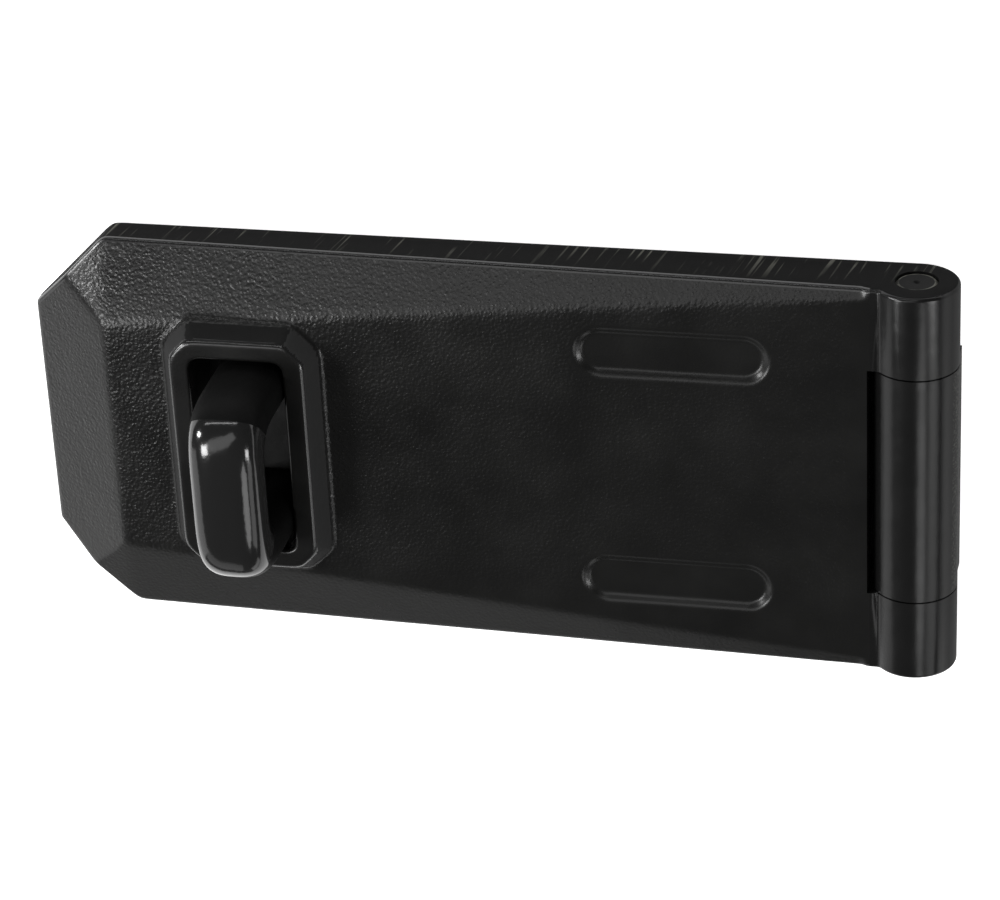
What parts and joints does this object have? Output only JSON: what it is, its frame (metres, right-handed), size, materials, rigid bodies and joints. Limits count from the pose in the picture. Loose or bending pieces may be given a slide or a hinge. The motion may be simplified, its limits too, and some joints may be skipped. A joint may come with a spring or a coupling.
{
  "type": "padlock hasp",
  "caption": "Heavy hinged padlock hasp in black painted forged steel, with a bevelled cover that closes over a riveted staple and hides the screws of its plates.",
  "frame": {"origin": "middle of the closed hasp's outline, on the mounting surface", "axes": "+X from the tip to the hinge, +Y across, +Z out of the mounting surface"},
  "size_m": [0.18, 0.08, 0.0386],
  "materials": {
    "cover_paint": "black gloss paint over forged steel, with a fine grain",
    "leaf_paint": "black satin paint over rolled steel",
    "pin_paint": "black satin paint over turned steel",
    "staple_paint": "smooth black gloss paint over bent steel bar",
    "plate_paint": "black satin paint over rolled steel"
  },
  "bodies": {
    "mounting": {"hinge_plate": "leaf_paint", "staple_plate": "plate_paint", "staple": "staple_paint"},
    "cover": {"hasp": "cover_paint", "hinge_pin": "pin_paint"}
  },
  "joints": [
    {"name": "cover_hinge", "type": "hinge", "parent": "mounting", "child": "cover", "pos_m": [0.082, 0, 0.0084], "axis": [0, 1, 0], "range_deg": [0, 175]}
  ]
}
